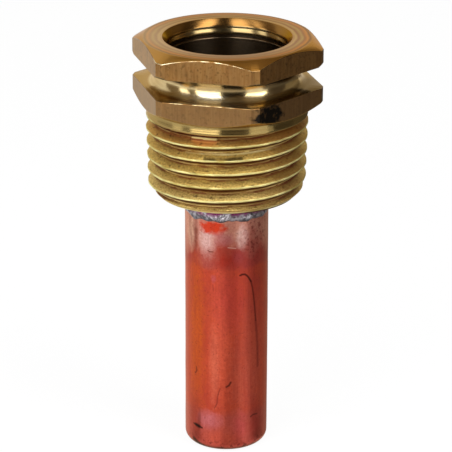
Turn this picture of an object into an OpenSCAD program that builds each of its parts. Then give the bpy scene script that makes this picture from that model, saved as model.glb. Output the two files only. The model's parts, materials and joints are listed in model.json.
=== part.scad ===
// Thermowell: a brass body, turned from hexagon bar, with two hexagons, a clip groove
// between them and a taper pipe thread, and a closed copper pocket that is silver-brazed
// into the body's lower end. The axis is Z and the head is up. Z = 0 is the gauge plane
// of the thread, where it has its nominal diameter.

/* [Hexagons] */
// Width across the flats of both hexagons
hex_af = 22; // [21.5:0.5:32]
// Depth that is rounded off each corner of the hexagon bar
corner_trim = 0.3; // [0.05:0.05:0.5]
// Thickness of the upper hexagon
upper_hex_h = 3; // [2:0.1:10]
// Thickness of the lower hexagon
lower_hex_h = 2.9; // [2:0.1:10]
// Distance from the flats to the circle where an end chamfer starts
chamfer_inset = 0.25; // [0.1:0.05:0.5]
// Slope of the end chamfers, from the flat faces
chamfer_angle = 30; // [15:5:45]
// Height of the edge broken at the upper hexagon's lower corners
edge_break = 0.3; // [0.1:0.05:0.5]

/* [Clip groove] */
// Width of the round-bottomed groove between the hexagons
groove_w = 2.85; // [1.5:0.05:3.2]
// Brass left between the groove and the head bore
neck_wall = 1.35; // [1:0.05:1.6]

/* [Head bore] */
// Diameter of the bore in the head
head_bore_d = 15.3; // [14:0.1:15.6]
// Radial width of the countersink at the bore's mouth
countersink_w = 0.65; // [0.2:0.05:1]
// Depth of the countersink
countersink_h = 0.87; // [0.3:0.01:1.2]
// Distance from the top face down to the shallow groove in the bore
bore_groove_at = 2.05; // [1.3:0.05:3]
// Width of the shallow groove in the bore
bore_groove_w = 0.4; // [0.2:0.05:1]
// Depth of the shallow groove in the bore
bore_groove_depth = 0.15; // [0.1:0.05:0.4]
// Half of the point angle of the drill that made the bore's floor
drill_half_angle = 59; // [45:1:75]

/* [Collar and thread] */
// Diameter of the plain collar under the lower hexagon
collar_d = 20.8; // [19:0.1:21]
// Height of the plain collar
collar_h = 1.3; // [0.5:0.1:3]
// Chamfer on the collar's two edges
collar_chamfer = 0.12; // [0.05:0.01:0.3]
// Diameter over the thread's crests at the gauge plane
thread_d = 20.85; // [19:0.05:21]
// Taper of the thread, as the length in which its diameter grows by 1
thread_taper = 16; // [12:1:30]
// Distance from the body's lower end up to the gauge plane
gauge_len = 8.2; // [6:0.1:12]
// Length from the collar to the body's lower end
thread_len = 10.7; // [9.5:0.1:16]
// Chamfer at the thread's lower end, equal along the axis and across it
thread_chamfer = 1.3; // [0.5:0.1:2]

/* [Pocket] */
// Outer diameter of the copper pocket
pocket_od = 10.9; // [8:0.1:12]
// Wall of the copper pocket
pocket_wall = 0.9; // [0.5:0.05:1.5]
// Length of the pocket that stands out of the body
pocket_len = 35; // [20:1:200]
// Length of the pocket inside the body
socket_len = 4.9; // [3:0.1:8]
// Radius of the closed end's outer edge
tip_r = 1; // [0.3:0.1:3]

/* [Brazed joint] */
// Gap that the braze metal fills between the pocket and the body
braze_gap = 0.08; // [0.04:0.01:0.2]
// Length of the braze fillet down the pocket
braze_down = 2.5; // [1:0.1:4]
// Width of the braze fillet across the body's end
braze_out = 1.1; // [0.8:0.1:2]
// Angle at which the braze metal wets the copper
wetting_angle = 8; // [4:1:10]

/* [Hidden] */
$fn = 96;

// Heights of the faces, from the body's lower end to its top
body_end_z = -gauge_len;
collar_z = body_end_z + thread_len;
lower_hex_z = collar_z + collar_h;
groove_z = lower_hex_z + lower_hex_h;
upper_hex_z = groove_z + groove_w;
top_z = upper_hex_z + upper_hex_h;

// Head
corner_r = hex_af / 2 / cos(30) - corner_trim;
face_r = hex_af / 2 - chamfer_inset;
chamfer_h = (corner_r - face_r) * tan(chamfer_angle);
groove_r = groove_w / 2;
groove_centre_r = head_bore_d / 2 + neck_wall + groove_r;
flat_overcut = 1;

// Bore
bore_r = head_bore_d / 2;
socket_r = pocket_od / 2 + braze_gap;
socket_top_z = body_end_z + socket_len;
floor_h = (bore_r - socket_r) / tan(drill_half_angle);
bore_groove_z = top_z - bore_groove_at;

// Thread, as the cone over its crests
collar_r = collar_d / 2;
thread_top_z = collar_z - collar_chamfer * 2;
thread_start_z = body_end_z + thread_chamfer;
function crest_r(z) = thread_d / 2 + z / thread_taper / 2;

// Pocket
pocket_r = pocket_od / 2;
pocket_bore_r = pocket_r - pocket_wall;
pocket_end_z = body_end_z - pocket_len;
pocket_floor_z = pocket_end_z + pocket_wall;
inner_tip_r = max(tip_r - pocket_wall, 0.2);

// Braze fillet: a hollow arc that meets the copper at the wetting angle
fillet_chord = norm([braze_out, braze_down]);
fillet_half_turn = atan(braze_out / braze_down) - wetting_angle;
fillet_r = fillet_chord / 2 / sin(fillet_half_turn);
fillet_stand = fillet_r * cos(fillet_half_turn) / fillet_chord;
fillet_centre = [braze_out / 2 + fillet_stand * braze_down, -braze_down / 2 - fillet_stand * braze_out];

// Half section of the body's outside, before the flats are milled
module body_outline() {
    polygon([
        [0, top_z],
        [face_r, top_z],
        [corner_r, top_z - chamfer_h],
        [corner_r, upper_hex_z + edge_break],
        [corner_r - edge_break, upper_hex_z],
        [groove_centre_r, upper_hex_z],
        [groove_centre_r, groove_z],
        [corner_r, groove_z],
        [corner_r, lower_hex_z + chamfer_h],
        [face_r, lower_hex_z],
        [collar_r - collar_chamfer, lower_hex_z],
        [collar_r, lower_hex_z - collar_chamfer],
        [collar_r, collar_z + collar_chamfer],
        [collar_r - collar_chamfer, collar_z],
        [crest_r(thread_top_z), thread_top_z],
        [crest_r(thread_start_z), thread_start_z],
        [crest_r(thread_start_z) - thread_chamfer, body_end_z],
        [0, body_end_z]
    ]);
}

// Half section of the bore: countersink, shallow groove, drilled floor and pocket socket
module bore_outline() {
    polygon([
        [0, top_z],
        [bore_r + countersink_w, top_z],
        [bore_r, top_z - countersink_h],
        [bore_r, bore_groove_z],
        [bore_r + bore_groove_depth, bore_groove_z],
        [bore_r + bore_groove_depth, bore_groove_z - bore_groove_w],
        [bore_r, bore_groove_z - bore_groove_w],
        [bore_r, socket_top_z + floor_h],
        [socket_r, socket_top_z],
        [socket_r, body_end_z],
        [0, body_end_z]
    ]);
}

// Six blocks that mill the flats of both hexagons, and stop at the collar
module hexagon_flats() {
    for (side = [0 : 5])
        rotate(side * 60 + 30)
            translate([hex_af / 2, -corner_r, lower_hex_z])
                cube([corner_r, corner_r * 2, top_z - lower_hex_z + flat_overcut]);
}

// Turned and milled body
module brass_body() {
    color("#b08a45")
        difference() {
            rotate_extrude()
                difference() {
                    body_outline();
                    translate([groove_centre_r, groove_z + groove_r]) circle(r = groove_r);
                    bore_outline();
                }
            hexagon_flats();
        }
}

// Half section of a closed round end: a bar from 0 to height, with its lower edge rounded
module round_end(r, edge_r, height) {
    translate([0, edge_r]) square([r, height - edge_r]);
    square([r - edge_r, edge_r]);
    translate([r - edge_r, edge_r])
        intersection() {
            circle(r = edge_r);
            translate([0, -edge_r]) square([edge_r, edge_r]);
        }
}

// Drawn copper tube with a closed lower end
module copper_pocket() {
    color("#b86a4c")
        rotate_extrude()
            difference() {
                translate([0, pocket_end_z])
                    round_end(pocket_r, tip_r, socket_top_z - pocket_end_z);
                translate([0, pocket_floor_z])
                    round_end(pocket_bore_r, inner_tip_r, socket_top_z - pocket_floor_z);
            }
}

// Braze metal: the thin sleeve in the joint and the fillet below it
module braze_joint() {
    color("#b4b0a8")
        rotate_extrude() {
            translate([pocket_r, body_end_z]) square([braze_gap, socket_len]);
            translate([pocket_r, body_end_z])
                difference() {
                    translate([0, -braze_down]) square([braze_out, braze_down]);
                    translate(fillet_centre) circle(r = fillet_r);
                }
        }
}

brass_body();
copper_pocket();
braze_joint();
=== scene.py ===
"""Looks of a thermowell: a brass body with a taper pipe thread and a closed copper pocket brazed into it.

Lengths are in millimetres until a mesh is finished, and then in metres. A bearing is an angle round
the axis, in degrees to the right of the side that faces the camera.
"""

import json
import math

import bmesh
import bpy
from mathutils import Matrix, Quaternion, Vector, noise


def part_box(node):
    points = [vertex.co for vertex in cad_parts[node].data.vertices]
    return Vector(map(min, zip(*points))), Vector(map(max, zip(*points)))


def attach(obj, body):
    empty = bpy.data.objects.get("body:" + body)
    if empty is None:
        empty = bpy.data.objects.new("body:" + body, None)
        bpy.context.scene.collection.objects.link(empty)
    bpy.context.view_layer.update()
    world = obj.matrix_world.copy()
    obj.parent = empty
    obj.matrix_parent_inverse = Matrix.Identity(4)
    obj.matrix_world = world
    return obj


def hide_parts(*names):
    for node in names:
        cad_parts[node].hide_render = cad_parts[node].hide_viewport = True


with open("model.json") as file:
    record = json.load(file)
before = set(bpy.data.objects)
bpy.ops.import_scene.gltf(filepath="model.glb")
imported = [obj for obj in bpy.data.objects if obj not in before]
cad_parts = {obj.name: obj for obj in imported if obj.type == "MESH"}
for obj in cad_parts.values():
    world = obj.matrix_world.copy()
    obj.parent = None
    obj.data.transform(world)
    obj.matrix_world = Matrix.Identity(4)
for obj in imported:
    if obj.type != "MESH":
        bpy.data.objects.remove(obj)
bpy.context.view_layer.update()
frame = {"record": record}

MM = 0.001
FULL_TURN = 2 * math.pi
WEDGES = 12  # a turned shape is made as this many equal wedges
NEAR = 0.01  # surfaces closer than this count as one
MERGE = 0.001  # points closer than this are made one
ON_PLANE = 0.0001  # how close to a cutting plane a point counts as on it

# ---------------------------------------------------------------- sizes from the frame


def box_mm(node):
    """Lowest and highest corner of a CAD node."""
    return [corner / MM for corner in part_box(node)]


def mount(name):
    return next(m for m in frame["record"]["mounts"] if m["name"] == name)


def mount_height(name):
    return mount(name)["pos_m"][2] / MM


body_low, body_high = box_mm("brass_body")
pocket_low, pocket_high = box_mm("copper_pocket")
braze_low, braze_high = box_mm("braze_joint")
thread = mount("process_thread")["dims"]
groove = mount("clip_groove")["dims"]

TOP_Z = body_high.z
END_Z = body_low.z
FLAT_R = body_high.y  # from the axis to a flat of the hexagons
CORNER_R = body_high.x
BORE_R = mount("head_bore")["dims"]["r_mm"]

GROOVE_Z = mount_height("clip_groove")
GROOVE_R = groove["length_mm"] / 2  # the groove is a full round
NECK_R = groove["r_mm"]
GROOVE_CENTRE_R = NECK_R + GROOVE_R
UPPER_HEX_Z = GROOVE_Z + GROOVE_R
LOWER_HEX_TOP_Z = GROOVE_Z - GROOVE_R

THREAD_R = thread["r_mm"]  # over the crests, at height 0
COLLAR_Z = END_Z + thread["length_mm"]

POCKET_R = pocket_high.x
POCKET_BORE_R = mount("pocket_bore")["dims"]["r_mm"]
POCKET_TOP_Z = pocket_high.z
POCKET_END_Z = pocket_low.z

BRAZE_R = braze_high.x
BRAZE_END_Z = braze_low.z

# ---------------------------------------------------------------- sizes that the frame doesn't state

COLLAR_R = 10.4
COLLAR_H = 1.3
COLLAR_CHAMFER = 0.12
COLLAR_LIP = 0.09  # how far the collar's lower edge stands proud of the rest
COLLAR_LIP_H = 0.36
COLLAR_LIP_SLOPE_H = 0.24
LOWER_HEX_Z = COLLAR_Z + COLLAR_H
FACE_R = FLAT_R - 0.25  # where the hexagons' end chamfers start
CHAMFER_SLOPE = math.tan(math.radians(30))
CORNER_BREAK = 0.3  # on the upper hexagon's lower corners
COUNTERSINK_W = 0.65
COUNTERSINK_H = 0.87
MOUTH_R = 0.5  # rounds the edge between the countersink and the bore
BORE_RING_AT = 2.05  # a shallow ring groove in the bore, below the top face
BORE_RING_H = 0.4
BORE_RING_DEPTH = 0.15
BORE_LIP_AT = 1.5  # a lip that leans outward in the bore, below the top face
BRAZE_GAP = 0.08  # between the pocket and its socket
SOCKET_R = POCKET_R + BRAZE_GAP
DRILL_SLOPE = 1 / math.tan(math.radians(59))
EDGE_WEAR = 0.09  # width of the worn edges
WORN_ANGLE = math.radians(26)  # edges sharper than this are worn
CREASE_ANGLE = math.radians(34)  # edges sharper than this aren't shaded smooth, unless worn

PITCH = 25.4 / 14
TAPER = 1 / 32  # change of radius along the thread
THREAD_DEPTH = 1.05
CREST_FLAT = 0.14
ROOT_FLAT = 0.12
FLANK_ROUNDING = 0.3  # share of a smooth curve in the straight flanks
CREST_WEAR = 0.03
FIRST_CREST_Z = 1.05  # height of the first crest on the front
END_CHAMFER = 1.3
THREAD_SET_BACK = 0.02  # the thread starts this far inside the collar's lower edge
THREAD_STEPS = 300  # round the axis
RINGS_PER_TURN = 24
THREAD_MERGE = 0.004
LAND_R = 9.85  # a short land where the threading tool first went in
LAND_BEARINGS = (-27, -7)

TIP_R = 1.2
POCKET_DENT = 0.03  # how uneven the drawn tube is
POCKET_WORK_LOSS = 0.02  # taken off its radius, on average
POCKET_CREASE_ANGLE = math.radians(40)

BRAZE_FILM = 0.14
BRAZE_BEAD = 0.25
BRAZE_BITE = 0.03  # how far the braze metal reaches into the copper, so that no gap shows

FRONT = math.radians(-76.55)  # direction from the axis to the front, from +X

# ---------------------------------------------------------------- making meshes


def arc(centre_r, centre_z, radius, start, end, steps):
    """Points (radius, height) along an arc, from one angle in degrees to another."""
    angles = [math.radians(start + (end - start) * i / steps) for i in range(steps + 1)]
    return [(centre_r + radius * math.cos(a), centre_z + radius * math.sin(a)) for a in angles]


def run(r, start_z, end_z, step):
    """Points straight along a wall of one radius, about a step apart."""
    count = max(1, round(abs(end_z - start_z) / step))
    return [(r, start_z + (end_z - start_z) * i / count) for i in range(count + 1)]


def turn_outline(mesh, points, steps, rise=0.0, closed=False):
    """Turns a line of (radius, height) points once round the axis, rising evenly if it is a screw.
    One wedge is spun and then copied round, which is much quicker than one long spin."""
    line = [mesh.verts.new((r, 0, z)) for r, z in points]
    edges = [mesh.edges.new(pair) for pair in zip(line, line[1:])]
    if closed:
        edges.append(mesh.edges.new((line[-1], line[0])))
    bmesh.ops.spin(
        mesh, geom=line + edges, cent=(0, 0, 0), axis=(0, 0, 1), dvec=(0, 0, rise / steps),
        angle=FULL_TURN / WEDGES, steps=steps // WEDGES, use_duplicate=False,
    )
    bmesh.ops.spin(
        mesh, geom=mesh.verts[:] + mesh.edges[:] + mesh.faces[:], cent=(0, 0, 0), axis=(0, 0, 1),
        dvec=(0, 0, rise / WEDGES), angle=FULL_TURN * (1 - 1 / WEDGES), steps=WEDGES - 1,
        use_duplicate=True,
    )
    bmesh.ops.remove_doubles(mesh, verts=mesh.verts, dist=MERGE)


def bearing_of(point):
    """Bearing of a point, from -180 to 180 degrees."""
    angle = math.atan2(point.y, point.x) - FRONT
    return math.degrees((angle + math.pi) % FULL_TURN - math.pi)


def set_radius(vert, radius):
    scale = radius / math.hypot(vert.co.x, vert.co.y)
    vert.co.x *= scale
    vert.co.y *= scale


def ripple(point, size, seed=0.0, tall=1.0):
    """Smooth noise from -1 to 1 with features of about a size, stretched along the axis."""
    return noise.noise(Vector((point.x / size, point.y / size, point.z / size / tall + seed)))


def face_outward(mesh):
    """Turns the faces of a closed mesh outward, all at once. They agree with one another already."""
    mesh.normal_update()
    if mesh.calc_volume(signed=True) < 0:
        bmesh.ops.reverse_faces(mesh, faces=mesh.faces)


def finish_piece(mesh, name, node, materials):
    """Makes a closed mesh into a piece in metres, which stands for a CAD node."""
    face_outward(mesh)
    bmesh.ops.scale(mesh, vec=(MM, MM, MM), verts=mesh.verts)
    data = bpy.data.meshes.new(name)
    mesh.to_mesh(data)
    mesh.free()
    for material in materials:
        data.materials.append(material)
    piece = bpy.data.objects.new(name, data)
    bpy.context.scene.collection.objects.link(piece)
    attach(piece, "root")
    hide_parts(node)
    return piece


# ---------------------------------------------------------------- brass body

BODY_FINISHES = ["flat", "turned", "face", "thread", "bore", "edge"]


def body_outline():
    """Half section of the turned blank: up the socket and bore, over the head, and down to the collar."""
    mouth_r = BORE_R + COUNTERSINK_W
    mouth_angle = math.degrees(math.atan(COUNTERSINK_W / COUNTERSINK_H))
    mouth_z = TOP_Z - COUNTERSINK_H - MOUTH_R * math.tan(math.radians(mouth_angle / 2))
    ring_z = TOP_Z - BORE_RING_AT
    cone_h = (CORNER_R - FACE_R) * CHAMFER_SLOPE
    return [
        (SOCKET_R, END_Z),
        (SOCKET_R, POCKET_TOP_Z),
        (BORE_R, POCKET_TOP_Z + (BORE_R - SOCKET_R) * DRILL_SLOPE),
        (BORE_R, ring_z - BORE_RING_H),
        (BORE_R + BORE_RING_DEPTH, ring_z - BORE_RING_H),
        (BORE_R + BORE_RING_DEPTH, ring_z),
        (BORE_R, ring_z),
        *arc(BORE_R + MOUTH_R, mouth_z, MOUTH_R, 180, 180 - mouth_angle, 6),
        (mouth_r, TOP_Z),
        (FACE_R, TOP_Z),
        (CORNER_R, TOP_Z - cone_h),
        (CORNER_R, UPPER_HEX_Z + CORNER_BREAK),
        (CORNER_R - CORNER_BREAK, UPPER_HEX_Z),
        *arc(GROOVE_CENTRE_R, GROOVE_Z, GROOVE_R, 90, 270, 32),
        (CORNER_R, LOWER_HEX_TOP_Z),
        (CORNER_R, LOWER_HEX_Z + cone_h),
        (FACE_R, LOWER_HEX_Z),
        (COLLAR_R - COLLAR_LIP, LOWER_HEX_Z),
        (COLLAR_R - COLLAR_LIP, COLLAR_Z + COLLAR_LIP_H + COLLAR_LIP_SLOPE_H),
        (COLLAR_R, COLLAR_Z + COLLAR_LIP_H),
        (COLLAR_R, COLLAR_Z + COLLAR_CHAMFER),
        (COLLAR_R - COLLAR_CHAMFER, COLLAR_Z),
    ]


def mill_flats(mesh):
    """Cuts the six flats of both hexagons and closes the cuts."""
    for side in range(6):
        angle = math.radians(30 + 60 * side)
        outward = Vector((math.cos(angle), math.sin(angle), 0))
        everything = mesh.verts[:] + mesh.edges[:] + mesh.faces[:]
        cut = bmesh.ops.bisect_plane(
            mesh, geom=everything, dist=ON_PLANE, plane_co=outward * FLAT_R, plane_no=outward,
            clear_outer=True,
        )
        rim = [e for e in cut["geom_cut"] if isinstance(e, bmesh.types.BMEdge) and e.is_boundary]
        bmesh.ops.edgeloop_fill(mesh, edges=rim)


def is_flat(face):
    """True for a milled flat: an upright plane at the hexagon's distance from the axis."""
    distance = face.calc_center_median().dot(face.normal)
    return abs(face.normal.z) < 0.001 and abs(distance - FLAT_R) < NEAR


def wear_edges(mesh):
    """Breaks the outer edges of the head and collar, as handling does."""
    sharp = [
        e for e in mesh.edges
        if len(e.link_faces) == 2 and e.is_convex and e.calc_face_angle() > WORN_ANGLE
        and min(v.co.z for v in e.verts) > COLLAR_Z + COLLAR_CHAMFER / 2
        and min(math.hypot(v.co.x, v.co.y) for v in e.verts) > BORE_R - NEAR
    ]
    worn = bmesh.ops.bevel(
        mesh, geom=sharp, offset=EDGE_WEAR, offset_type="WIDTH", affect="EDGES", segments=2,
        profile=0.5, clamp_overlap=False, material=-1,
    )
    return worn["faces"]


def crest_radius(height):
    return THREAD_R + height * TAPER


def thread_cut(point):
    """How far a point is down the thread's groove, from 0 on a crest to 1 at the root, and whether
    it is on a flank that faces up (1) or down (-1)."""
    waver = 0.025 * ripple(point, 2.5, seed=7.0) + 0.012 * ripple(point, 0.8, seed=5.0)
    turns = (FIRST_CREST_Z - point.z) / PITCH + bearing_of(point) / 360 + waver
    away = (turns + 0.5) % 1 - 0.5
    slope = (abs(away) * PITCH - CREST_FLAT / 2) / ((PITCH - CREST_FLAT - ROOT_FLAT) / 2)
    straight = min(max(slope, 0), 1)
    rounded = straight * straight * (3 - 2 * straight)
    cut = straight + FLANK_ROUNDING * (rounded - straight)
    return cut, -1 if away > 0 else 1


def thread_radius(point):
    """Radius of the threaded part under a point of the blank."""
    cut, _ = thread_cut(point)
    wear = CREST_WEAR * (1 - cut) * (1 + ripple(point, 1.1, seed=3.0))
    radius = crest_radius(point.z) - wear - THREAD_DEPTH * cut
    left, right = LAND_BEARINGS
    if left < bearing_of(point) < right and point.z > FIRST_CREST_Z:
        radius = max(radius, LAND_R)
    under_collar = COLLAR_R - COLLAR_CHAMFER - THREAD_SET_BACK + COLLAR_Z - point.z
    end_chamfer = crest_radius(END_Z + END_CHAMFER) - END_CHAMFER + point.z - END_Z
    return min(radius, under_collar, end_chamfer)


def cut_thread():
    """The threaded part, as rings that climb with the screw, cut level at both ends."""
    mesh = bmesh.new()
    step = PITCH / RINGS_PER_TURN
    spare = 2 * RINGS_PER_TURN
    count = math.ceil((COLLAR_Z - END_Z) / step) + 2 * spare
    line = [(THREAD_R, COLLAR_Z + (spare - i) * step) for i in range(count)]
    turn_outline(mesh, line, steps=THREAD_STEPS, rise=PITCH)
    for vert in mesh.verts:
        set_radius(vert, thread_radius(vert.co))
    for height, outward in ((COLLAR_Z, 1), (END_Z, -1)):
        everything = mesh.verts[:] + mesh.edges[:] + mesh.faces[:]
        bmesh.ops.bisect_plane(
            mesh, geom=everything, dist=ON_PLANE, plane_co=(0, 0, height), plane_no=(0, 0, outward),
            clear_outer=True,
        )
    bmesh.ops.remove_doubles(mesh, verts=mesh.verts, dist=THREAD_MERGE)
    for edge in mesh.edges:
        if edge.is_boundary:
            for vert in edge.verts:
                vert.co.z = COLLAR_Z if vert.co.z > 0 else END_Z
    return mesh


def close_ring(mesh, height):
    """Fills the level ring between the two open rims at a height."""
    rims = [
        e for e in mesh.edges
        if e.is_boundary and all(abs(v.co.z - height) < MERGE for v in e.verts)
    ]
    bmesh.ops.bridge_loops(mesh, edges=rims)


def finish_of(face, worn):
    """Name of the finish that a face of the body has."""
    centre = face.calc_center_median()
    radius = math.hypot(centre.x, centre.y)
    upright = abs(face.normal.z) < 0.1
    if is_flat(face) or (upright and radius > CORNER_R - 0.05):
        return "flat"
    if centre.z < COLLAR_Z + ON_PLANE and radius > SOCKET_R + NEAR:
        return "thread"
    if radius < BORE_R + COUNTERSINK_W - NEAR:
        return "bore"
    # only worn edges that face up take the bright edge finish: its glints are painted highlights where
    # light falls from above
    if face in worn and face.normal.z > 0.2 and radius > FACE_R + 0.1:
        return "edge"
    if face in worn and upright:
        return "flat"
    if centre.z > TOP_Z - COUNTERSINK_H:
        return "face"
    return "turned"


def brass_body(materials):
    mesh = bmesh.new()
    turn_outline(mesh, body_outline(), steps=360)
    mill_flats(mesh)
    mesh.normal_update()
    worn = set(wear_edges(mesh))
    screw = cut_thread()
    screw_data = bpy.data.meshes.new("screw")
    screw.to_mesh(screw_data)
    screw.free()
    mesh.from_mesh(screw_data)
    bpy.data.meshes.remove(screw_data)
    close_ring(mesh, COLLAR_Z)
    close_ring(mesh, END_Z)
    face_outward(mesh)
    for face in mesh.faces:
        face.smooth = True
        face.material_index = BODY_FINISHES.index(finish_of(face, worn))
    for edge in mesh.edges:
        faces = edge.link_faces
        if len(faces) == 2 and edge.calc_face_angle() > CREASE_ANGLE:
            edge.smooth = any(f in worn for f in faces)
    cut_layer = mesh.verts.layers.float.new("cut")
    flank_layer = mesh.verts.layers.float.new("flank")
    for vert in mesh.verts:
        if vert.co.z < COLLAR_Z and math.hypot(vert.co.x, vert.co.y) > BORE_R + NEAR:
            vert[cut_layer], vert[flank_layer] = thread_cut(vert.co)
    piece = finish_piece(mesh, "body", "brass_body", materials)
    weighted = piece.modifiers.new("even_shading", "WEIGHTED_NORMAL")
    weighted.keep_sharp = True
    return piece


# ---------------------------------------------------------------- copper pocket


def pocket_outline():
    """Half section of the tube, from the middle of its floor, over its rim, to the middle of its tip."""
    wall = POCKET_R - POCKET_BORE_R
    inner_tip_r = max(TIP_R - wall, 0.2)
    floor_z = POCKET_END_Z + wall
    inside = arc(POCKET_BORE_R - inner_tip_r, floor_z + inner_tip_r, inner_tip_r, -90, 0, 4)
    outside = arc(POCKET_R - TIP_R, POCKET_END_Z + TIP_R, TIP_R, 0, -90, 10)
    bottom = [(r, POCKET_END_Z) for r in (3.6, 2.6, 1.6, 0.8, 0)]
    return [
        (0, floor_z),
        *inside,
        (POCKET_BORE_R, POCKET_TOP_Z),
        *run(POCKET_R, POCKET_TOP_Z, POCKET_END_Z + TIP_R, 0.5)[:-1],
        *outside,
        *bottom,
    ]


def dent(vert):
    """Gives the drawn tube its slight unevenness."""
    radius = math.hypot(vert.co.x, vert.co.y)
    if vert.co.z > BRAZE_END_Z + 1 or radius < POCKET_BORE_R + 0.1:
        return
    broad = POCKET_DENT * ripple(vert.co, 7, seed=1.5, tall=2.2)
    fine = POCKET_DENT * 0.4 * ripple(vert.co, 2.2, seed=9.0)
    set_radius(vert, radius - POCKET_WORK_LOSS + broad + fine)


def copper_pocket(materials):
    mesh = bmesh.new()
    turn_outline(mesh, pocket_outline(), steps=168)
    for vert in mesh.verts:
        dent(vert)
    for face in mesh.faces:
        face.smooth = True
    for edge in mesh.edges:
        edge.smooth = edge.calc_face_angle() < POCKET_CREASE_ANGLE
    return finish_piece(mesh, "pocket", "copper_pocket", materials)


# ---------------------------------------------------------------- braze metal


def braze_outline():
    """Closed half section: the sleeve in the joint, and a film down the pocket that ends in a bead."""
    inner_r = POCKET_R - BRAZE_BITE
    drop = END_Z - BRAZE_END_Z
    return [
        (inner_r, POCKET_TOP_Z),
        *run(inner_r, END_Z, BRAZE_END_Z, 0.4),
        (POCKET_R + BRAZE_BEAD * 0.55, BRAZE_END_Z + 0.02),
        (POCKET_R + BRAZE_BEAD * 0.9, BRAZE_END_Z + drop * 0.07),
        (POCKET_R + BRAZE_BEAD, BRAZE_END_Z + drop * 0.15),
        (POCKET_R + BRAZE_BEAD * 0.9, BRAZE_END_Z + drop * 0.24),
        (POCKET_R + BRAZE_BEAD * 0.62, BRAZE_END_Z + drop * 0.34),
        (POCKET_R + BRAZE_FILM * 1.1, BRAZE_END_Z + drop * 0.46),
        (POCKET_R + BRAZE_FILM, BRAZE_END_Z + drop * 0.6),
        (POCKET_R + BRAZE_FILM * 1.5, BRAZE_END_Z + drop * 0.74),
        (POCKET_R + BRAZE_FILM * 2.6, BRAZE_END_Z + drop * 0.88),
        (POCKET_R + BRAZE_FILM * 4.2, BRAZE_END_Z + drop * 0.96),
        (BRAZE_R, END_Z),
        (SOCKET_R, END_Z),
        (SOCKET_R, POCKET_TOP_Z),
    ]


def flow(vert):
    """Makes the braze metal as uneven as it froze: it ran furthest down at the front."""
    if vert.co.z > END_Z - NEAR:
        return
    around = Vector((vert.co.x, vert.co.y, 0))
    run_down = 0.82 + 0.17 * math.cos(math.radians(bearing_of(vert.co)))
    sag = run_down + 0.14 * ripple(around, 2.3, seed=4.0) + 0.12 * ripple(around, 0.9, seed=6.0)
    vert.co.z = END_Z + (vert.co.z - END_Z) * sag
    proud = math.hypot(vert.co.x, vert.co.y) - POCKET_R
    if proud > NEAR:
        lump = 1 + 0.5 * ripple(vert.co, 1.1, seed=2.0) + 0.25 * ripple(vert.co, 0.5, seed=8.0)
        set_radius(vert, POCKET_R + proud * lump)


def braze_ring(materials):
    mesh = bmesh.new()
    turn_outline(mesh, braze_outline(), steps=240, closed=True)
    for vert in mesh.verts:
        flow(vert)
    for face in mesh.faces:
        face.smooth = True
    return finish_piece(mesh, "braze", "braze_joint", materials)


# ---------------------------------------------------------------- finishes


def add_node(tree, kind, inputs=(), out=0, stops=(), **settings):
    """Adds a node with its settings, inputs (values or links) and ramp stops. Returns one output."""
    node = tree.nodes.new("ShaderNode" + kind)
    for name, value in settings.items():
        setattr(node, name, value)
    for socket, value in inputs.items() if isinstance(inputs, dict) else enumerate(inputs):
        if isinstance(value, bpy.types.NodeSocket):
            tree.links.new(value, node.inputs[socket])
        elif value is not None:
            node.inputs[socket].default_value = value
    for i, (position, colour) in enumerate(stops):
        ramp = node.color_ramp.elements
        stop = ramp[i] if i < 2 else ramp.new(1.0)
        stop.position = position
        stop.color = linear(colour)
    return node.outputs[out] if out is not None else node


def linear(hex_colour):
    """An sRGB hex colour as linear red, green, blue and 1."""
    parts = [int(hex_colour[i:i + 2], 16) / 255 for i in (1, 3, 5)]
    return (*(p / 12.92 if p <= 0.04045 else ((p + 0.055) / 1.055) ** 2.4 for p in parts), 1)


def new_finish(name):
    """A material with an empty node tree."""
    material = bpy.data.materials.new(name)
    material.use_nodes = True
    material.node_tree.nodes.clear()
    return material, material.node_tree


def place(tree):
    """Position in millimetres, turned so that the front faces -Y."""
    here = add_node(tree, "TexCoord", out=3)
    turn = (0, 0, -FRONT - math.pi / 2)
    return add_node(tree, "Mapping", {0: here, 2: turn, 3: (1 / MM, 1 / MM, 1 / MM)})


def unroll(tree, at, radius):
    """The surface laid flat: millimetres round the axis from the front, and height."""
    parts = add_node(tree, "SeparateXYZ", [at], out=None).outputs
    toward_front = add_node(tree, "Math", [parts[1], -1.0], operation="MULTIPLY")
    angle = add_node(tree, "Math", [parts[0], toward_front], operation="ARCTAN2")
    across = add_node(tree, "Math", [angle, radius], operation="MULTIPLY")
    return add_node(tree, "CombineXYZ", [across, parts[2]])


def reach(tree, at):
    """Distance from the axis."""
    level = add_node(tree, "VectorMath", [at, (1, 1, 0)], operation="MULTIPLY")
    return add_node(tree, "VectorMath", [level], out=1, operation="LENGTH")


def round_the_axis(tree):
    """The direction round the axis, in which the lathe's tool marks run."""
    here = add_node(tree, "TexCoord", out=3)
    along = add_node(tree, "VectorMath", [(0, 0, 1), here], operation="CROSS_PRODUCT")
    return add_node(
        tree, "VectorTransform", [along], convert_from="OBJECT", convert_to="WORLD",
        vector_type="VECTOR",
    )


def grain(tree, at, size, stretch=(1, 1, 1), detail=2.0, low=0.3, high=0.7):
    """Noise with features of a size in millimetres, longer where stretched, and its low and high
    ends widened to 0 and 1."""
    scale = tuple(1 / size / s for s in stretch)
    scaled = add_node(tree, "Mapping", {0: at, 3: scale})
    cloud = add_node(tree, "TexNoise", {"Vector": scaled, "Scale": 1.0, "Detail": detail})
    return add_node(tree, "MapRange", [cloud, low, high])


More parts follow.
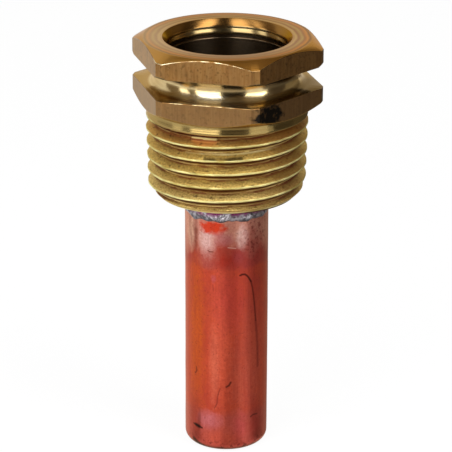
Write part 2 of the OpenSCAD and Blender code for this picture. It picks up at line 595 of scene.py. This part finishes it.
def patch(tree, flat, centre, size, ragged=0.0, soft=0.3, grain_size=0.8):
    """1 inside an oval about a centre on the unrolled surface, easing to 0 outside it."""
    offset = add_node(tree, "VectorMath", [flat, (*centre, 0)], operation="SUBTRACT")
    inverse = (2 / size[0], 2 / size[1], 0)
    scaled = add_node(tree, "VectorMath", [offset, inverse], operation="MULTIPLY")
    away = add_node(tree, "VectorMath", [scaled], out=1, operation="LENGTH")
    if ragged:
        rough = grain(tree, flat, grain_size, detail=3.0)
        away = add_node(tree, "Math", [rough, 2 * ragged, away], operation="MULTIPLY_ADD")
        away = add_node(tree, "Math", [away, ragged], operation="SUBTRACT")
    return add_node(tree, "MapRange", [away, 1 - soft, 1 + soft, 1.0, 0.0])


def scratch(tree, flat, points, width):
    """1 along a bent scratch through points on the unrolled surface."""
    nearest = None
    for start, end in zip(points, points[1:]):
        run_x, run_z = end[0] - start[0], end[1] - start[1]
        square = run_x * run_x + run_z * run_z
        offset = add_node(tree, "VectorMath", [flat, (*start, 0)], operation="SUBTRACT")
        share = add_node(
            tree, "VectorMath", [offset, (run_x / square, run_z / square, 0)], out=1,
            operation="DOT_PRODUCT",
        )
        held = add_node(tree, "Math", [share, 0.0], operation="ADD", use_clamp=True)
        foot = add_node(tree, "VectorMath", {0: (run_x, run_z, 0), 3: held}, operation="SCALE")
        away = add_node(tree, "VectorMath", [offset, foot], out=1, operation="DISTANCE")
        if nearest is not None:
            away = add_node(tree, "Math", [away, nearest], operation="MINIMUM")
        nearest = away
    return add_node(tree, "MapRange", [nearest, width * 0.2, width * 0.8, 1.0, 0.0])


def coats(tree, base, layers):
    """Colours laid one over another. Each layer is its masks or strengths, and then its colour."""
    colour = linear(base) if isinstance(base, str) else base
    for *masks, over in layers:
        share = masks[0]
        for mask in masks[1:]:
            share = add_node(tree, "Math", [share, mask], operation="MULTIPLY")
        over = linear(over) if isinstance(over, str) else over
        colour = add_node(tree, "Mix", {0: share, 6: colour, 7: over}, out=2, data_type="RGBA")
    return colour


def metal(finish, colour, roughness, bump=None, depth=0.0, tangent=None, **constants):
    """Ends a metal's material with its shader. The bump's depth is in millimetres."""
    material, tree = finish
    inputs = {"Base Color": colour, "Roughness": roughness, "Metallic": 1.0}
    if bump is not None:
        inputs["Normal"] = add_node(
            tree, "Bump", {"Height": bump, "Strength": 1.0, "Distance": depth * MM},
        )
    if tangent is not None:
        inputs["Tangent"] = tangent
        inputs["Anisotropic Rotation"] = 0.25  # it smears across the tool marks
    inputs.update({name.replace("_", " "): value for name, value in constants.items()})
    shader = add_node(tree, "BsdfPrincipled", inputs)
    add_node(tree, "OutputMaterial", [shader], out=None)
    return material


def drawn_flats():
    """Hexagon bar as drawn: tarnished brown, with die lines along the bar. It gives the satin flats."""
    finish = new_finish("drawn_brass_bar")
    tree = finish[1]
    at = place(tree)
    flat = unroll(tree, at, FLAT_R)
    # The real die lines are too fine to show, so these are coarser
    lines = grain(tree, at, 0.25, stretch=(1, 1, 10), detail=2.0)
    bands = grain(tree, at, 1.1, stretch=(1, 1, 5), detail=3.0)
    clouds = grain(tree, at, 2.0, detail=3.0)
    speckle = grain(tree, at, 0.35, detail=3.0, low=0.55, high=0.75)
    up = add_node(tree, "SeparateXYZ", [at], out=2)
    lower = add_node(tree, "MapRange", [up, GROOVE_Z + 0.5, GROOVE_Z - 0.5])
    stain = patch(tree, flat, (5.2, 5.2), (3.9, 3.6), ragged=0.6, soft=0.35, grain_size=0.8)
    colour = coats(tree, "#946A3E", [
        (bands, 0.7, "#A8783F"),
        (clouds, 0.8, "#7A5832"),
        (lines, 0.45, "#BC925A"),
        (speckle, 0.65, "#523A20"),
        (lower, 0.5, "#8A6C4A"),
        (stain, "#26211C"),
    ])
    return metal(finish, colour, 0.34, bump=lines, depth=0.004, Specular_Tint=linear("#F8F4E8"))


def turned_brass():
    """Turned brass, left bright: it gives the groove and the collar their shine, with painted shade and a
    painted highlight.
    """
    finish = new_finish("turned_brass")
    tree = finish[1]
    at = place(tree)
    flat = unroll(tree, at, COLLAR_R)
    # The real tool marks are too fine to show, so these are coarser
    rings = grain(tree, at, 0.26, stretch=(60, 60, 1), detail=2.0)
    clouds = grain(tree, at, 1.8, detail=3.0)
    up = add_node(tree, "SeparateXYZ", [at], out=2)
    collar = add_node(tree, "MapRange", [up, LOWER_HEX_Z + 0.1, LOWER_HEX_Z - 0.1])
    # painted shade: the groove's upper half, which faces down under the upper hexagon, is made darker
    neck_top_painted_shade = add_node(tree, "MapRange", [up, GROOVE_Z + 0.05, GROOVE_Z + 0.4])
    flange = add_node(tree, "MapRange", [up, LOWER_HEX_TOP_Z + 0.1, LOWER_HEX_TOP_Z + 0.01])
    on_groove = add_node(tree, "Math", [1.0, collar], operation="SUBTRACT")
    # painted shade on the right of the flange
    right_flange_painted_shade = patch(tree, flat, (14.5, LOWER_HEX_TOP_Z), (9.0, 1.0), soft=0.5)
    # painted highlight: near white along the front of the groove's foot
    shine = patch(tree, flat, (-2.0, LOWER_HEX_TOP_Z + 0.3), (9.0, 0.8), soft=0.5)
    marks = add_node(tree, "MapRange", [collar, 0.0, 1.0, 0.25, 1.0])
    relief = add_node(tree, "Math", [rings, marks], operation="MULTIPLY")
    colour = coats(tree, "#DCC694", [
        (clouds, 0.25, "#A88650"),
        (neck_top_painted_shade, on_groove, 0.95, "#6A5A40"),
        (flange, on_groove, 0.85, "#A07A34"),
        (shine, "#FFF8DC"),
        (right_flange_painted_shade, 0.95, "#35240F"),
        (collar, 0.9, "#A08850"),
        (rings, 0.3, "#8A6A38"),
    ])
    return metal(
        finish, colour, 0.2, bump=relief, depth=0.012, tangent=round_the_axis(tree), Anisotropic=0.85,
        Specular_Tint=linear("#F4E4CC"),
    )


def faced_brass():
    """The faced and chamfered head, tarnished in rings: it gives the satin top."""
    finish = new_finish("faced_brass")
    tree = finish[1]
    at = place(tree)
    out = reach(tree, at)
    ring_at = add_node(tree, "CombineXYZ", [out])
    # The real facing marks are too fine to show, so these are coarser
    rings = grain(tree, ring_at, 0.12, detail=2.0)
    clouds = grain(tree, at, 2.5, detail=3.0)
    shifted = add_node(tree, "Math", [clouds, 0.2, out], operation="MULTIPLY_ADD")
    across = add_node(tree, "MapRange", [shifted, BORE_R, CORNER_R])
    tarnish = add_node(tree, "ValToRGB", [across], stops=[
        (0.0, "#5C4424"), (0.15, "#8E6038"), (0.24, "#B4985E"), (0.31, "#7A4830"), (0.4, "#A68C50"),
        (0.47, "#865430"), (0.56, "#BC7A2C"), (0.62, "#5E3818"), (0.67, "#A4783A"), (1.0, "#B88640"),
    ])
    front = patch(tree, unroll(tree, at, FLAT_R), (2.5, TOP_Z), (13.0, 4.0), soft=0.6)
    left = patch(tree, unroll(tree, at, FLAT_R), (-17.0, TOP_Z), (13.0, 4.0), soft=0.7)
    bevel = add_node(tree, "MapRange", [out, FACE_R, FACE_R + 0.1])
    colour = coats(tree, tarnish, [
        (rings, 0.25, "#B8925C"),
        (left, 0.4, "#C4B08C"),
        (front, 0.45, "#744820"),
        (bevel, 0.5, "#AE7A2C"),
        (front, bevel, 0.3, "#80542A"),
    ])
    return metal(
        finish, colour, 0.28, bump=rings, depth=0.004, tangent=round_the_axis(tree), Anisotropic=0.5,
        Specular_Tint=linear("#F0DCC8"),
    )


def cut_thread_brass():
    """Thread as cut: mottled olive-gold flanks, thin pale crests partly painted as highlights, and a
    painted-shade dark line under each crest.
    """
    finish = new_finish("cut_thread_brass")
    tree = finish[1]
    at = place(tree)
    cut = add_node(tree, "Attribute", out=2, attribute_name="cut")
    flank = add_node(tree, "Attribute", out=2, attribute_name="flank")
    round_it = unroll(tree, at, THREAD_R)
    clouds = grain(tree, round_it, 2.2, stretch=(2, 1, 1), detail=3.0)
    streaks = grain(tree, round_it, 0.2, stretch=(6, 1, 1), detail=3.0)
    mottle = grain(tree, round_it, 0.17, stretch=(1.8, 1, 1), detail=3.0)
    specks = grain(tree, round_it, 0.4, stretch=(2, 1, 1), detail=3.0, low=0.6, high=0.7)
    broken = grain(tree, round_it, 0.6, stretch=(5, 1, 1), detail=4.0, low=0.35, high=0.6)
    turns = grain(tree, round_it, 1.6, stretch=(8, 1, 1), detail=1.0, low=0.4, high=0.6)
    up = add_node(tree, "SeparateXYZ", [at], out=2)
    # painted shade: darker toward the collar, and more so just under it (top, relief)
    top = add_node(tree, "MapRange", [up, -1.0, 2.0])
    relief = add_node(tree, "MapRange", [up, 1.1, 1.5])
    # painted shade on the flank under each crest, with a pale painted highlight near its root
    under = add_node(tree, "MapRange", [flank, 0.2, -0.6])
    upper = add_node(tree, "MapRange", [flank, 0.4, 0.9])
    painted_shade_under_crest = add_node(tree, "MapRange", [cut, 0.85, 0.7])
    # painted shade in the roots (root, inner)
    root = add_node(tree, "MapRange", [cut, 0.72, 0.86])
    inner = add_node(tree, "MapRange", [cut, 0.9, 0.96])
    # pale crests: partly rubbed metal, partly a painted highlight
    crest = add_node(tree, "MapRange", [cut, 0.08, 0.04])
    black_line = scratch(tree, round_it, [(-2.9, -0.62), (-1.2, -0.65), (0.4, -0.56), (1.9, -0.47)], 0.36)
    # a painted highlight: a pale line just under the first crest
    painted_highlight_line = scratch(tree, round_it, [(-6.0, -0.24), (0.0, -0.04), (8.0, 0.2)], 0.15)
    fading = patch(tree, round_it, (0.6, 0.0), (10.0, 6.0), soft=0.6)
    # painted shade on the right side of the thread
    right = patch(tree, round_it, (9.5, -2.0), (9.0, 16.0), soft=0.5)
    upper_left = patch(tree, round_it, (-11.0, 1.6), (12.0, 3.6), ragged=0.3, soft=0.6)
    land = patch(tree, round_it, (-3.1, 1.7), (3.6, 1.2), soft=0.2)
    # painted light: lighter toward the lower turns
    low = add_node(tree, "MapRange", [up, -3.5, -5.5])
    colour = coats(tree, "#DCBA62", [
        (clouds, 0.5, "#BE964A"),
        (low, 0.4, "#F4DC98"),
        (mottle, 0.85, "#80602E"),
        (streaks, 0.4, "#D8C070"),
        (top, 0.2, "#A87438"),
        (relief, 0.55, "#7E4A26"),
        (upper_left, 0.3, "#A85C20"),
        (land, 0.7, "#B8783C"),
        (specks, 0.7, "#4E361E"),
        (right, 0.6, "#7E5024"),
        (upper, root, broken, 0.8, "#74382A"),
        (upper, inner, 0.6, "#6A3A24"),
        (under, "#D0BC80"),
        (under, turns, 0.8, "#8A6030"),
        (under, painted_shade_under_crest, "#4A1C12"),
        (painted_highlight_line, fading, 0.4, "#F0E4A0"),
        (painted_highlight_line, fading, broken, 0.8, "#F4ECB4"),
        (black_line, 0.4, "#2A1C10"),
        (black_line, broken, 0.95, "#1E140C"),
        (crest, 0.85, "#B8A860"),
        (crest, broken, 0.85, "#EEE8A8"),
    ])
    return metal(finish, colour, 0.55, bump=mottle, depth=0.03, Specular_Tint=linear("#FAF0D8"))


def bore_brass():
    """The bore: a golden countersink, a lip that leans toward the windows and glints, and nearly
    black below it."""
    finish = new_finish("bored_brass")
    tree = finish[1]
    at = place(tree)
    up = add_node(tree, "SeparateXYZ", [at], out=2)
    # The real boring marks are too fine to show, so these are coarser
    rings = grain(tree, at, 0.3, stretch=(60, 60, 1), detail=2.0)
    lip_z = TOP_Z - BORE_LIP_AT
    mouth_z = TOP_Z - COUNTERSINK_H
    mouth = add_node(tree, "MapRange", [up, mouth_z - 0.06, mouth_z + 0.04])
    lip = add_node(tree, "MapRange", [up, lip_z - 0.42, lip_z - 0.36])
    lean = add_node(
        tree, "MapRange", [up, lip_z + 0.4, lip_z - 0.35], interpolation_type="SMOOTHSTEP",
    )
    relief = add_node(tree, "Math", [rings, 0.02, lean], operation="MULTIPLY_ADD")
    colour = coats(tree, "#7A6A56", [
        (lip, 0.9, "#9C875C"),
        (mouth, "#906836"),
        (rings, 0.3, "#5A4424"),
    ])
    return metal(
        finish, colour, 0.24, bump=relief, depth=0.26, tangent=round_the_axis(tree), Anisotropic=0.7,
        Specular_Tint=linear("#E8D0A8"),
    )


def worn_edge_brass_and_painted_glints():
    """Brass rubbed bright along the edges, and painted glints: it gives broken glints, most of them near
    the front.
    """
    finish = new_finish("rubbed_brass_edge")
    tree = finish[1]
    at = place(tree)
    flat = unroll(tree, at, FLAT_R)
    rubbed = grain(tree, at, 1.1, detail=4.0, low=0.42, high=0.66)
    # painted glints: near white at the front, the left corner and the lower hexagon's front edge
    front = patch(tree, flat, (-1.5, TOP_Z), (6.5, 4.0), soft=0.6)
    left_corner_painted_glint = patch(tree, flat, (-8.0, TOP_Z - 1.0), (2.5, 4.0), soft=0.6)
    lower = patch(tree, flat, (-3.5, LOWER_HEX_TOP_Z), (8.5, 1.5), soft=0.4)
    colour = coats(tree, "#7C5A32", [
        (rubbed, 0.3, "#D8BC80"),
        (rubbed, front, 0.9, "#FFF4CC"),
        (left_corner_painted_glint, 0.8, "#FFF4CC"),
        (rubbed, lower, 0.8, "#F4E4B4"),
    ])
    return metal(finish, colour, 0.25)


# Heat stains, with painted highlights and painted shade among them: centre and size in mm round from the
# front and in height, softness, strength, colour
COPPER_STAINS_AND_PAINTED_LIGHT = [
    ((-4.4, -27.0), (2.4, 21.0), 0.5, 0.8, "#CC5C22"),
    ((-0.6, -26.0), (2.6, 18.0), 0.6, 0.7, "#E4664A"),
    ((-0.2, -15.2), (3.0, 3.6), 0.4, 0.75, "#A82A1C"),
    # painted highlight: the left window's reflection
    ((-2.7, -13.4), (2.0, 3.8), 0.5, 0.9, "#EAC0B8"),
    ((-2.7, -15.8), (2.4, 2.4), 0.6, 0.5, "#C87464"),
    # painted highlight: the right window's reflection
    ((2.1, -12.9), (1.6, 2.8), 0.4, 1.0, "#F4CCC0"),
    ((-5.4, -12.6), (1.8, 4.2), 0.5, 0.7, "#E6BCA0"),
    ((-4.6, -39.5), (2.2, 7.0), 0.5, 0.7, "#983A2E"),
    ((-4.5, -12.8), (0.7, 4.0), 0.6, 0.8, "#6A2A20"),
    # painted shade down the right side
    ((3.6, -27.0), (3.6, 26.0), 0.6, 0.3, "#A04044"),
    ((0.4, -21.5), (3.4, 8.0), 0.6, 0.5, "#C84240"),
    ((3.4, -32.0), (3.6, 14.0), 0.7, 0.4, "#D06A50"),
    ((-1.9, -11.5), (3.4, 1.7), 0.3, 0.95, "#DC3A14"),
    ((-0.4, -13.0), (2.4, 1.6), 0.5, 0.7, "#C0787A"),
    ((1.6, -15.4), (1.6, 1.8), 0.5, 0.6, "#A84A4C"),
    ((3.6, -14.0), (2.8, 4.0), 0.6, 0.6, "#A0443C"),
    ((-1.7, -18.6), (0.7, 0.9), 0.5, 0.6, "#C05A60"),
    ((1.4, -33.0), (1.8, 9.0), 0.5, 0.5, "#C05A46"),
    ((-1.6, -31.0), (1.2, 9.0), 0.6, 0.55, "#DC7458"),
    ((-2.4, -38.8), (3.0, 2.2), 0.5, 0.7, "#D0767A"),
    ((1.8, -39.8), (1.8, 4.0), 0.5, 0.7, "#CC5654"),
    ((4.4, -39.6), (2.4, 5.0), 0.6, 0.6, "#8A2420"),
    ((-0.6, -41.4), (4.8, 2.6), 0.6, 0.6, "#D0583E"),
    ((-4.4, -41.4), (1.4, 1.4), 0.8, 0.6, "#5A2018"),
    ((4.4, -41.6), (2.0, 1.6), 0.8, 0.6, "#5A2018"),
    ((-3.9, -39.4), (0.6, 3.0), 0.5, 0.6, "#6A2A20"),
]
# Scratches and specks of scale: points as above, width, strength, colour
COPPER_MARKS = [
    (
        [(1.8, -18.1), (2.1, -18.0), (2.5, -18.05), (2.8, -18.3), (3.1, -18.7), (3.4, -19.2)],
        0.24, 0.9, "#3E1A16",
    ),
    ([(3.4, -19.2), (3.65, -20.1), (3.85, -21.3), (4.05, -22.8), (4.25, -24.9)], 0.24, 0.75, "#561C18"),
    ([(4.25, -24.9), (4.5, -27.0), (4.65, -29.3), (4.7, -31.5)], 0.4, 0.5, "#6A2220"),
    ([(-0.8, -34.0), (-1.15, -35.2), (-1.2, -36.2), (-1.55, -36.9)], 0.14, 0.6, "#6A2A24"),
    ([(0.05, -33.75), (0.4, -33.5), (0.6, -33.1)], 0.24, 0.8, "#43201A"),
    ([(-4.4, -31.6), (-4.3, -32.1), (-4.6, -32.5)], 0.2, 0.7, "#5A2A20"),
    ([(-4.9, -39.93), (-4.3, -39.97), (-3.4, -40.12)], 0.26, 0.85, "#2A1612"),
    ([(-4.4, -39.97), (-3.9, -40.04)], 0.5, 0.9, "#1C100E"),
    ([(-4.9, -42.2), (-4.2, -42.55), (-3.3, -42.85)], 0.6, 0.9, "#1C100E"),
    ([(3.5, -38.5), (3.9, -38.3), (4.6, -38.4)], 0.2, 0.8, "#5A2420"),
    ([(0.2, -14.15), (1.2, -14.3)], 0.14, 0.7, "#DCA698"),
    ([(-2.5, -14.75), (-2.3, -14.9), (-1.8, -14.85)], 0.16, 0.8, "#6A2A1C"),
    ([(-1.8, -19.4), (-1.75, -20.3)], 0.1, 0.5, "#7A2A24"),
]


def tinted_copper():
    """Drawn copper, heat-tinted by brazing: orange, red and maroon oxide with a satin shine, plus painted
    highlights and painted shade.
    """
    finish = new_finish("heat_tinted_copper")
    tree = finish[1]
    at = place(tree)
    flat = unroll(tree, at, POCKET_R)
    up = add_node(tree, "SeparateXYZ", [at], out=2)
    clouds = grain(tree, at, 2.6, stretch=(1, 1, 1.6), detail=4.0)
    mottle = grain(tree, at, 0.9, detail=3.0)
    # The real drawing lines are too fine to show, so these are coarser
    lines = grain(tree, at, 0.22, stretch=(1, 1, 30), detail=1.0)
    runs = grain(tree, at, 0.7, stretch=(1, 1, 5), detail=3.0, low=0.45, high=0.7)
    fine = grain(tree, at, 0.28, detail=3.0)
    specks = grain(tree, at, 0.3, detail=2.0, low=0.62, high=0.72)
    spatter = grain(tree, at, 0.45, detail=3.0, low=0.54, high=0.62)
    spattered = patch(tree, flat, (4.2, -13.2), (4.0, 5.5), soft=0.5)
    smudged = patch(tree, flat, (-5.0, -12.6), (2.6, 5.0), soft=0.5)
    scaled = patch(tree, flat, (0.0, POCKET_END_Z + 0.4), (26.0, 1.8), soft=0.6)
    edge = add_node(tree, "Math", [clouds, 3.0, up], operation="MULTIPLY_ADD")
    brazed_end = add_node(tree, "MapRange", [edge, -14.3, -11.3])
    pink_edge = add_node(tree, "Math", [mottle, 0.5, up], operation="MULTIPLY_ADD")
    pink_zone = add_node(tree, "MapRange", [pink_edge, -17.3, -16.6])
    tip_edge = add_node(tree, "Math", [clouds, 0.8, up], operation="MULTIPLY_ADD")
    tip_end = add_node(tree, "MapRange", [tip_edge, -36.6, -37.8])
    rim = add_node(tree, "MapRange", [up, POCKET_END_Z + 0.9, POCKET_END_Z + 0.4])
    layers = [
        (clouds, 0.55, "#AC3A34"),
        (mottle, 0.35, "#D0522C"),
        (pink_zone, 0.85, "#A8423C"),
        (brazed_end, 0.85, "#DDA48E"),
        (tip_end, 0.75, "#BA5A50"),
    ]
    for centre, size, soft, strength, shade in COPPER_STAINS_AND_PAINTED_LIGHT:
        layers.append((patch(tree, flat, centre, size, ragged=0.3, soft=soft), strength, shade))
    layers.append((runs, 0.22, "#8A2A26"))
    layers.append((lines, 0.15, "#8E3424"))
    layers.append((fine, 0.35, "#9A3A30"))
    layers.append((specks, 0.4, "#6A2A20"))
    layers.append((spatter, spattered, 0.7, "#6E2A26"))
    layers.append((runs, smudged, 0.5, "#5A2018"))
    layers.append((spatter, scaled, 0.8, "#3A1614"))
    layers.append((rim, 0.85, "#4A2018"))
    for points, width, strength, shade in COPPER_MARKS:
        layers.append((scratch(tree, flat, points, width), strength, shade))
    colour = coats(tree, "#CA5236", layers)
    return metal(finish, colour, 0.38, bump=lines, depth=0.003, Specular_Tint=linear("#FFEEDC"))


def silver_braze():
    """Silver braze metal, as it froze: it gives a lumpy grey ring, stained purple by the brass, with
    painted shade along its lower edge.
    """
    finish = new_finish("silver_braze")
    tree = finish[1]
    at = place(tree)
    up = add_node(tree, "SeparateXYZ", [at], out=2)
    lumps = grain(tree, at, 0.45, detail=3.0, low=0.38, high=0.62)
    stain = grain(tree, at, 1.2, detail=3.0, low=0.38, high=0.5)
    near_brass = add_node(tree, "MapRange", [up, END_Z - 1.9, END_Z - 1.4])
    # painted shade along the bead's lower edge
    lower_edge_painted_shade = add_node(tree, "MapRange", [up, BRAZE_END_Z + 0.55, BRAZE_END_Z + 0.2])
    colour = coats(tree, "#B4AFB4", [
        (lumps, 0.85, "#484448"),
        (near_brass, stain, "#7C3A62"),
        (lower_edge_painted_shade, 0.6, "#3A3438"),
    ])
    return metal(finish, colour, 0.32, bump=lumps, depth=0.05)


# ---------------------------------------------------------------- studio

HEAD_Z = GROOVE_Z  # middle of the dome that the windows and upright cards are on
DOME_R = 0.6  # in metres


def toward(bearing, elevation):
    """Unit vector from the axis to a bearing and an elevation, in degrees."""
    angle = FRONT + math.radians(bearing)
    rise = math.radians(elevation)
    return Vector((math.cos(angle) * math.cos(rise), math.sin(angle) * math.cos(rise), math.sin(rise)))


def seen_white(tree):
    """1 for the rays that should see a white room: camera, mirror and glass rays."""
    rays = add_node(tree, "LightPath", out=None).outputs
    seen = rays["Is Camera Ray"]
    for name in ("Is Glossy Ray", "Is Transmission Ray"):
        seen = add_node(tree, "Math", [seen, rays[name]], operation="MAXIMUM")
    return seen


def white_world(fill):
    """A white room to look at, which lights the object at a plain level."""
    world = bpy.data.worlds.new("white_room")
    bpy.context.scene.world = world
    world.use_nodes = True
    tree = world.node_tree
    tree.nodes.clear()
    strength = add_node(tree, "MapRange", [seen_white(tree), 0.0, 1.0, fill, 1.0])
    room = add_node(tree, "Background", [linear("#FFFFFF"), strength])
    add_node(tree, "OutputWorld", [room], out=None)


def link_stage(mesh, name, material):
    """Makes a mesh into a piece of the studio, which isn't part of the object."""
    data = bpy.data.meshes.new(name)
    mesh.to_mesh(data)
    mesh.free()
    data.materials.append(material)
    piece = bpy.data.objects.new(name, data)
    bpy.context.scene.collection.objects.link(piece)
    return piece


def pale_floor():
    """White board. Most of what it shows is its own white, so that it keeps only a soft shadow."""
    material, tree = new_finish("white_board")
    board = add_node(tree, "BsdfDiffuse", [linear("#FCFCFC")])
    glow = add_node(tree, "Emission", [linear("#FFFFFF"), 1.0])
    share = add_node(tree, "Math", [seen_white(tree), 0.94], operation="MULTIPLY")
    mixed = add_node(tree, "MixShader", [share, board, glow])
    add_node(tree, "OutputMaterial", [mixed], out=None)
    mesh = bmesh.new()
    bmesh.ops.create_circle(mesh, cap_ends=True, segments=96, radius=0.9)
    bmesh.ops.translate(mesh, vec=(0, 0, POCKET_END_Z * MM), verts=mesh.verts)
    link_stage(mesh, "floor", material)


def card(name, bearings, line, shade, strength=1.0):
    """A glowing card swept round the axis from a line of (distance, height) points, in metres. Only
    shiny metal sees it: it is there to be reflected, and lights nothing."""
    material, tree = new_finish(name)
    shader = add_node(tree, "Emission", [linear(shade), strength])
    add_node(tree, "OutputMaterial", [shader], out=None)
    mesh = bmesh.new()
    start = toward(bearings[0], 0)
    verts = [mesh.verts.new(start * distance + Vector((0, 0, z))) for distance, z in line]
    edges = [mesh.edges.new(pair) for pair in zip(verts, verts[1:])]
    bmesh.ops.spin(
        mesh, geom=verts + edges, cent=(0, 0, 0), axis=(0, 0, 1),
        angle=math.radians(bearings[1] - bearings[0]), steps=12, use_duplicate=False,
    )
    piece = link_stage(mesh, name, material)
    piece.visible_camera = False
    piece.visible_diffuse = False
    piece.visible_shadow = False
    return piece


def upright_card(name, bearings, elevations, shade, strength=1.0):
    """A card on a dome round the head, between two elevations."""
    line = arc(0, HEAD_Z * MM, DOME_R, *elevations, 10)
    return card(name, bearings, line, shade, strength)


def level_card(name, bearings, distances, shade):
    """A card that lies just over the floor, between two distances from the axis."""
    z = (POCKET_END_Z + 0.4) * MM
    card(name, bearings, [(distance, z) for distance in distances], shade)


def window(name, bearings, elevations, strength):
    """A white softbox on that dome. Unlike a card, it lights what is dull too."""
    softbox = upright_card(name, bearings, elevations, "#FFFFFF", strength)
    softbox.visible_diffuse = True


def camera():
    """Camera in front of the piece, looking down on it."""
    distance = 0.340
    elevation = 20.71
    aim_z = -13.216 * MM
    aim_left = 0.09 * MM
    aim = Vector((0, 0, aim_z)) + toward(-90, 0) * aim_left
    roll = math.radians(0.2)
    lens = bpy.data.cameras.new("camera")
    lens.sensor_width = 36
    lens.lens = 207.7
    lens.clip_start = 0.01
    eye = bpy.data.objects.new("camera", lens)
    bpy.context.scene.collection.objects.link(eye)
    back = toward(0, elevation)
    eye.location = aim + back * distance
    eye.rotation_mode = "QUATERNION"
    eye.rotation_quaternion = (-back).to_track_quat("-Z", "Y") @ Quaternion((0, 0, 1), roll)
    bpy.context.scene.camera = eye


# ---------------------------------------------------------------- all of it

brass_body([
    drawn_flats(), turned_brass(), faced_brass(), cut_thread_brass(), bore_brass(), worn_edge_brass_and_painted_glints(),
])
copper_pocket([tinted_copper()])
braze_ring([silver_braze()])

white_world(fill=0.3)
pale_floor()
window("left_window", (-51, -11), (2, 72), 4.6)
window("small_window", (-81, -65), (5, 68), 3.2)
window("right_window", (31, 67), (17, 71), 5.6)
upright_card("camera_card", (-11, 31), (-20, 78), "#1E1A16")
upright_card("left_window_top", (-51, -11), (72, 78), "#4A463E")
upright_card("right_window_top", (31, 72), (71, 78), "#4A463E")
upright_card("gap_card", (-65, -51), (-20, 70), "#8A8478")
upright_card("left_card", (-112, -81), (-20, 70), "#8A7C68")
upright_card("right_card", (67, 105), (-20, 70), "#524A42")
upright_card("far_right_card", (105, 150), (-20, 70), "#8A8070")
upright_card("camera_top_card", (-11, 31), (78, 90), "#2E2820")
upright_card("top_card", (31, 349), (78, 90), "#B4AA98")
upright_card("back_top_card", (125, 235), (50, 78), "#807A70")
level_card("front_cloth", (-48, -8), (0.1, 0.85), "#D8D4D0")
level_card("camera_cloth", (-8, 31), (0.0058, 0.85), "#C8C0B8")
level_card("right_cloth_near", (58, 200), (0.0058, 0.1), "#B4AEA8")
level_card("right_cloth_far", (58, 178), (0.1, 0.85), "#5E5A56")
camera()

bpy.context.scene.view_settings.view_transform = "Standard"
